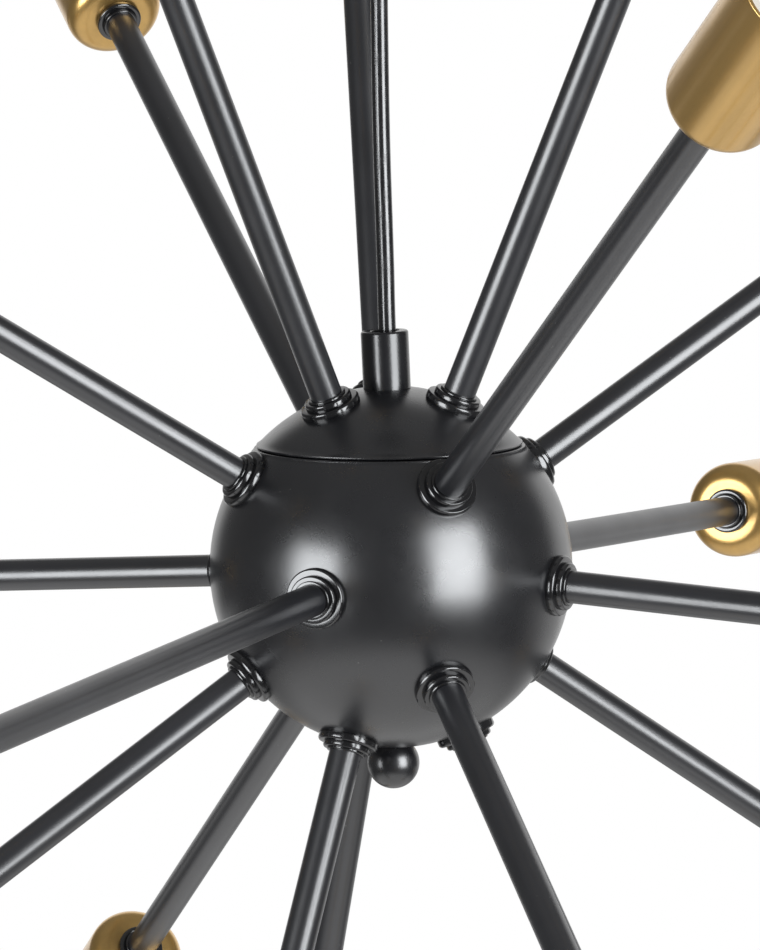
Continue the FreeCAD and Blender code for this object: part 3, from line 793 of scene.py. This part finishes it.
class CHANDELIER_OT_rosettes(bpy.types.Operator):
    """Turn the stepped rosette at the root of an arm and copy it to all of them"""
    bl_idname = "chandelier.rosettes"
    bl_label = "Rosettes"

    def execute(self, context):
        settings = context.scene.arm_settings
        bore = settings.radius / MM
        ball = context.scene.ball_settings.radius / MM
        wide, middle, narrow = bore + 4.35, bore + 2.35, bore + 0.95
        foot = math.sqrt(ball ** 2 - wide ** 2)
        first, second, third = foot + 2.45, foot + 4.25, foot + 4.95
        root = (bore, math.sqrt(ball ** 2 - bore ** 2) - 0.1)
        outline = [root, (wide - 0.1, foot - 0.1)]
        for out, low, high, ease in (
            (wide, foot + 0.3, first, 0.65), (middle, first, second, 0.55), (narrow, second, third, 0.35),
        ):
            outline += [
                (out, low), (out, high - 0.95 * ease), (out - 0.06 * ease, high - 0.80 * ease),
                (out - 0.42 * ease, high - 0.16 * ease), (out - 0.58 * ease, high - 0.04 * ease),
                (out - 0.75 * ease, high),
            ]
        outline += [(bore, third), root]
        model = turned("rosette_model", outline)
        coat = black_coat("Rosette gloss black", settings.gloss, settings.gloss_roughness, True,
                          900.0, 0.000008, 0.7, 0.03, specular=0.7)
        on_every_arm(model, "rosettes", "collar_black", coat, "arm_collars_{half}")
        return {"FINISHED"}


class CHANDELIER_OT_cups(bpy.types.Operator):
    """Spin a lamp cup with a rounded base and a rolled mouth, and the black ring under it"""
    bl_idname = "chandelier.cups"
    bl_label = "Lamp cups"

    def execute(self, context):
        settings, arm = context.scene.cup_settings, context.scene.arm_settings
        base, out, wall = settings.base / MM, settings.radius / MM, settings.wall / MM
        mouth, rounding, bore = base + settings.length / MM, settings.rounding / MM, arm.radius / MM
        inside = out - wall
        ridge = 0.45
        sides = spread(base + rounding, mouth - 2.2, 8)
        outline = [
            (bore, base), (bore + 3.6, base), *arc(out - rounding, base + rounding, rounding, -90, 0, 16),
            *[(out, height) for height in sides[1:]],
            *arc(out - ridge, mouth - ridge, ridge, 0, 130, 8),
            *arc(inside + 0.1, mouth - 0.55, 0.4, 60, 200, 8),
            (inside, mouth - 1.6), (inside, base + rounding + 4.0),
            *arc(out - rounding, base + rounding, rounding - wall, 0, -90, 10),
            (bore, base + wall), (bore, base),
        ]
        model = turned("cup_model", outline, 128)
        gold = satin_gold("Cup gold", settings.gold, settings.gold_roughness)
        on_every_arm(model, "cups", "cup_gold", gold, "lamp_cups_ring_{ring}")

        wide, step_out = bore + 2.6, bore + 0.75
        low, lower = base - 2.2, base - 3.5
        outline = [
            (bore, lower), *arc(step_out - 0.35, lower + 0.35, 0.35, -90, 0, 4), (step_out, low + 0.15),
            (step_out + 0.35, low), (wide - 1.0, low - 0.02), *arc(wide - 0.7, low + 0.7, 0.7, -90, 0, 6),
            (wide, base - 0.45), (wide - 0.35, base), (bore, base), (bore, lower),
        ]
        model = turned("ring_model", outline)
        coat = black_coat("Cup ring gloss black", arm.gloss, arm.gloss_roughness, True, 900.0,
                          0.000008, 0.5, 0.03)
        on_every_arm(model, "cup_rings", "collar_black", coat, "cup_washers_{half}")
        return {"FINISHED"}


class CHANDELIER_OT_lampholders(bpy.types.Operator):
    """Model the glazed lampholder, its threaded shell and its contact, and copy them to the cups"""
    bl_idname = "chandelier.lampholders"
    bl_label = "Lampholders"

    def execute(self, context):
        settings, arm = context.scene.cup_settings, context.scene.arm_settings
        base, wall, bore = settings.base / MM, settings.wall / MM, arm.radius / MM
        floor = base + wall
        out = (settings.radius - settings.wall) / MM - 0.5
        neck = out - settings.rounding / MM
        face = base + settings.length / MM - 3.0
        rim, well = face - 2.0, 7.1
        socket_floor = rim - 24.0
        holder = [
            (bore, floor), (neck - 0.8, floor), (neck, floor + 0.8), (neck, floor + 14.0),
            (out - 1.5, floor + 19.0), *arc(out - 1.5, floor + 20.5, 1.5, -90, 0, 4)[1:],
            (out, face - 8.0), (out - 0.5, face - 7.6),
            (out - 0.5, face - 6.4), (out, face - 6.0), *arc(out - 1.3, face - 1.3, 1.3, 0, 90, 6),
            (out - 3.2, face), (out - 3.6, face - 0.5), (well + 2.4, face - 0.5), (well + 2.0, face),
            *arc(well + 1.6, face - 0.6, 0.6, 90, 180, 4), (well + 1.0, rim), (well + 0.02, rim),
            (well + 0.02, socket_floor), (0, socket_floor), (0, socket_floor - 10.0),
            (bore - 0.8, socket_floor - 10.0), (bore - 0.8, floor + 8.0), (bore, floor + 8.0),
            (bore, floor),
        ]
        model = turned("holder_model", holder)
        glaze = glazed("Lampholder glaze", settings.ceramic)
        on_every_arm(model, "holders", "ivory_ceramic", glaze, "lampholders_{half}")

        # The shell is rolled with a round thread: its wall is drawn straight, and then moved in and out.
        rows, shell_out, shell_in, hole = 54, 7.05, 6.75, 5.0
        outer = [(shell_out, height) for height in spread(socket_floor, rim, rows)]
        inner = [(shell_in, height) for _, height in reversed(outer[6:])]
        outline = [(hole, socket_floor), *outer, *inner, (hole, inner[-1][1]), (hole, socket_floor)]
        model = turned("shell_model", outline, 72, None)
        thread_low, thread_high, pitch = socket_floor + 5.0, rim - 1.5, 2.82
        for vertex in model.data.vertices:
            height = vertex.co.z / MM
            if math.hypot(vertex.co.x, vertex.co.y) < 6.0 * MM or not thread_low < height < thread_high:
                continue
            fade = min(1.0, (height - thread_low) / 1.5, (thread_high - height) / 1.5)
            wave = math.sin(2 * math.pi * height / pitch - math.atan2(vertex.co.y, vertex.co.x))
            grow = 1.0 + (0.17 * wave * fade - 0.17 * fade) / 7.0
            vertex.co.x *= grow
            vertex.co.y *= grow
        smooth(model, 60.0)
        nickel = plated("Threaded nickel", (0.70, 0.66, 0.58), 0.24, True)
        on_every_arm(model, "socket_shells", "shell_nickel", nickel, "screw_shells_{half}")

        contact = [
            (0, socket_floor), (2.6, socket_floor), (2.6, socket_floor + 0.8), (1.8, socket_floor + 1.0),
            *arc(1.1, socket_floor + 1.7, 0.7, 0, 90, 5), (0, socket_floor + 2.45),
        ]
        model = turned("contact_model", contact, 40)
        brass = plated("Contact brass", (0.72, 0.55, 0.27), 0.22, True)
        on_every_arm(model, "centre_tabs", "brass_fittings", brass, "centre_contacts_{half}")
        return {"FINISHED"}


class CHANDELIER_OT_canopy(bpy.types.Operator):
    """Spin the ceiling dish, turn its grip and its two knurled nuts"""
    bl_idname = "chandelier.canopy"
    bl_label = "Ceiling dish"

    def execute(self, context):
        settings = context.scene.ball_settings
        enamel = settings.enamel
        out, low, wall, rounding, hole = 60.0, -26.0, 1.0, 6.0, 5.2
        rim = -0.5
        outline = [
            (hole, low), (11.0, low), (11.4, low + 0.25), (12.6, low + 0.25), (13.0, low),
            *arc(out - rounding, low + rounding, rounding, -90, 0, 14), (out, rim - 3.0),
            *arc(out - 0.45, rim - 0.45, 0.45, 0, 180, 8), (out - wall, rim - 3.0),
            *arc(out - rounding, low + rounding, rounding - wall, 0, -90, 12),
            (hole, low + wall), (hole, low),
        ]
        dish = turned("ceiling_dish", outline, 192, 35.0)
        finished(dish, "canopy", "black_satin", black_coat("Dish enamel", enamel, 0.36, False), "canopy")

        bore, thread, side, grip_low = 2.9, 5.0, 7.35, -42.0
        chamber = grip_low + 12.0
        outline = [
            (bore, low + 5.5), (thread - 0.3, low + 5.5), (thread, low + 5.2), (thread, low),
            (side - 0.4, low), (side, low - 0.4), (side, -29.6), (side - 0.5, -30.0),
            (side - 0.5, -30.7), (side, -31.1), *arc(side - 0.9, grip_low + 0.9, 0.9, 0, -90, 6),
            (thread + 0.3, grip_low), (thread, grip_low + 0.3), (thread, chamber), (bore, chamber),
            (bore, low + 5.5),
        ]
        grip = turned("dish_grip", outline, 128, 35.0)
        coat = black_coat("Grip enamel", enamel, 0.26, False, 1000.0, dust=0.7)
        finished(grip, "canopy", "black_satin", coat, "canopy_grip")

        coat = black_coat("Nut enamel", enamel, 0.24, False, 1000.0, 0.00002, 0.6)
        for side, x in (("left", -0.047), ("right", 0.047)):
            base, tip, radius, stud = -26.0, -39.0, 6.0, 2.05
            levels = spread(base - 0.6, base - 4.0, 4)
            outline = [
                (stud, base), (radius - 0.6, base), *[(radius, level) for level in levels],
                (radius - 0.7, levels[-1] - 0.5), *arc(radius - 3.9, tip + 3.6, 3.6, 20, -80, 12),
                (0, tip), (0, base - 10.0), (stud, base - 10.0), (stud, base),
            ]
            nut = turned(f"dish_nut_{side}", outline, 120, None)
            for vertex in nut.data.vertices:
                height = vertex.co.z / MM
                outside = math.hypot(vertex.co.x, vertex.co.y) > (radius - 0.1) * MM
                if outside and levels[-1] - 0.1 < height < base - 0.5:
                    turn = math.atan2(vertex.co.y, vertex.co.x)
                    cut = 1.0 - 0.035 * (0.5 + 0.5 * math.cos(30 * turn))
                    vertex.co.x *= cut
                    vertex.co.y *= cut
            smooth(nut, 30.0)
            nut.data.transform(Matrix.Translation((x, 0, 0)))
            finished(nut, f"cap_nut_{side}", "black_satin", coat, f"cap_nut_{side}")
        return {"FINISHED"}


class CHANDELIER_OT_fittings(bpy.types.Operator):
    """Give the inner fittings, which keep their built shapes, their finishes"""
    bl_idname = "chandelier.fittings"
    bl_label = "Inner fittings"

    def execute(self, context):
        zinc = plated("Zinc plate", (0.60, 0.61, 0.60), 0.32)
        brass = plated("Turned brass", (0.72, 0.55, 0.27), 0.26)
        ivory = matt_plastic("Ivory plastic", (0.80, 0.78, 0.69))
        black = matt_plastic("Black plastic", (0.022, 0.022, 0.023))
        dressed = {
            "ceiling_bracket": zinc, "bracket_studs": zinc, "grip_lock_nut": zinc, "centre_tube": zinc,
            "cap_lock_nut": zinc, "arm_nuts_cap": zinc, "arm_nuts_bowl": zinc,
            "earth_screw": brass, "tube_end_bush": brass, "terminal_screws": brass,
            "terminal_block": ivory, "cord_bush": black, "coupler_bush": black,
        }
        for name, paint in dressed.items():
            for slot in frame["nodes"][name].material_slots:
                slot.material = paint
        return {"FINISHED"}


class CHANDELIER_OT_stage(bpy.types.Operator):
    """Lay the pale floor, light the white surround and set two large softboxes"""
    bl_idname = "chandelier.stage"
    bl_label = "Stage"

    BACKDROP_WAY = (0.17, 0.985, 0.0)     # where the white backdrop stands in reflections
    LAMP_DISTANCE = 1.7
    LAMP_TINT = (0.95, 0.975, 1.0)
    FLOOR_RADIUS = 4.5

    def floor_paint(self, colour):
        """A pale floor with a faint shadow, white to the camera, and greyer further off in gloss."""
        paint = Finish("Pale floor")
        paint.constant(base_color=(*colour, 1.0), roughness=0.9)
        distance = paint.made("ShaderNodeVectorMath", {0: paint.place}, "Value", operation="LENGTH")
        fade = paint.ranged(distance, 0.90, 1.0, 1.0, 3.8)
        rising = paint.ranged(paint.along(paint.place, self.BACKDROP_WAY), 0.0, 0.55, 0.8, 2.6)
        near = paint.maths("ADD", paint.ranged(distance, 0.70, 0.10, 1.0, 1.7), rising)
        camera = paint.made("ShaderNodeLightPath", {}, "Is Camera Ray")
        gloss = camera.node.outputs["Is Glossy Ray"]
        share_of_glow = paint.maths("MULTIPLY_ADD", camera, fade, gloss)
        strength = paint.maths("MULTIPLY_ADD", gloss, near, camera)
        glow = paint.made("ShaderNodeEmission", {"Strength": strength}, "Emission")
        inputs = {"Fac": share_of_glow, 1: paint.shader.outputs["BSDF"], 2: glow}
        mixed = paint.made("ShaderNodeMixShader", inputs, "Shader")
        paint.links.new(mixed, paint.nodes["Material Output"].inputs["Surface"])
        return paint.material

    def surround(self):
        """White to the camera; in reflections white behind the chandelier and dim elsewhere."""
        world = bpy.data.worlds.new("Studio")
        world.use_nodes = True
        sky = Nodes(world.node_tree)
        direction = sky.made("ShaderNodeTexCoord", {}, "Generated")
        behind = sky.ranged(sky.along(direction, self.BACKDROP_WAY), 0.0, 1.0, -1.0, 1.0)
        dim = sky.made("ShaderNodeValToRGB", {"Fac": behind}, "Color")
        ramp = dim.node.color_ramp
        ramp.interpolation = "EASE"
        stops = ((0.0, 0.095), (0.35, 0.09), (0.82, 0.13), (0.93, 1.0))
        while len(ramp.elements) < len(stops):
            ramp.elements.new(0.5)
        for element, (position, grey) in zip(ramp.elements, stops):
            element.position = position
            element.color = (grey, grey, grey, 1.0)
        height = sky.made("ShaderNodeSeparateXYZ", {"Vector": direction}, "Z")
        overhead = sky.ranged(height, 0.0, 0.11, 0.55, 1.0)
        lit = sky.made("ShaderNodeVectorMath", {0: dim, 1: overhead}, "Vector", operation="ADD")
        camera = sky.made("ShaderNodeLightPath", {}, "Is Camera Ray")
        sky.links.new(sky.blended(camera, lit, (1.0, 1.0, 1.0)), sky.nodes["Background"].inputs["Color"])
        return world

    def execute(self, context):
        settings = context.scene.stage_settings
        deselect()
        bpy.ops.mesh.primitive_circle_add(
            vertices=96, radius=self.FLOOR_RADIUS, fill_type="NGON",
            location=(0, 0, BALL_CENTRE.z - settings.floor_drop))
        floor = bpy.context.active_object
        floor.name = "floor"
        floor.data.materials.append(self.floor_paint(tuple(settings.floor_tone)))
        context.scene.world = self.surround()

        boxes = (
            ("left_softbox", -48.8, 0.2, 0.90, 0.95, settings.left_power),
            ("right_softbox", 43.3, 6.8, 1.00, 1.34, settings.right_power),
        )
        for name, azimuth, elevation, width, height, power in boxes:
            turn, rise = math.radians(azimuth), math.radians(elevation)
            level = math.cos(rise)
            way = Vector((math.sin(turn) * level, -math.cos(turn) * level, math.sin(rise)))
            deselect()
            bpy.ops.object.light_add(type="AREA", location=BALL_CENTRE + self.LAMP_DISTANCE * way)
            lamp = bpy.context.active_object
            lamp.name = name
            lamp.rotation_euler = (-way).to_track_quat("-Z", "Y").to_euler()
            lamp.data.shape = "RECTANGLE"
            lamp.data.size = width
            lamp.data.size_y = height
            lamp.data.energy = power
            lamp.data.color = self.LAMP_TINT
        context.scene.view_settings.view_transform = "Standard"
        return {"FINISHED"}


class CHANDELIER_PT_pieces(bpy.types.Panel):
    """The chandelier's pieces and settings"""
    bl_idname = "CHANDELIER_PT_pieces"
    bl_label = "Sputnik chandelier"
    bl_space_type = "VIEW_3D"
    bl_region_type = "UI"
    bl_category = "Chandelier"

    def draw(self, context):
        layout = self.layout
        for operator in OPERATORS:
            layout.operator(operator.bl_idname)
        for attribute, group in SETTINGS:
            box = layout.box()
            box.label(text=group.__doc__.strip("."))
            for name in group.__annotations__:
                box.prop(getattr(context.scene, attribute), name)


SETTINGS = (
    ("ball_settings", BallSettings), ("arm_settings", ArmSettings), ("cup_settings", CupSettings),
    ("cord_settings", CordSettings), ("stage_settings", StageSettings),
)
OPERATORS = (
    CHANDELIER_OT_camera, CHANDELIER_OT_cord, CHANDELIER_OT_cord_ends, CHANDELIER_OT_ball,
    CHANDELIER_OT_coupler, CHANDELIER_OT_knob, CHANDELIER_OT_arms, CHANDELIER_OT_rosettes,
    CHANDELIER_OT_cups, CHANDELIER_OT_lampholders, CHANDELIER_OT_leads, CHANDELIER_OT_canopy,
    CHANDELIER_OT_fittings, CHANDELIER_OT_stage,
)


def register():
    for attribute, group in SETTINGS:
        bpy.utils.register_class(group)
        setattr(bpy.types.Scene, attribute, bpy.props.PointerProperty(type=group))
    for operator in OPERATORS:
        bpy.utils.register_class(operator)
    bpy.utils.register_class(CHANDELIER_PT_pieces)


def unregister():
    bpy.utils.unregister_class(CHANDELIER_PT_pieces)
    for operator in reversed(OPERATORS):
        bpy.utils.unregister_class(operator)
    for attribute, group in reversed(SETTINGS):
        delattr(bpy.types.Scene, attribute)
        bpy.utils.unregister_class(group)


def main():
    """Register, and make everything in order."""
    ours = {*frame["nodes"].values(), *frame["bodies"].values()}
    for stray in [thing for thing in bpy.data.objects if thing not in ours]:
        bpy.data.objects.remove(stray)
    register()
    for operator in OPERATORS:
        group, name = operator.bl_idname.split(".")
        getattr(getattr(bpy.ops, group), name)()


if __name__ == "__main__":
    main()
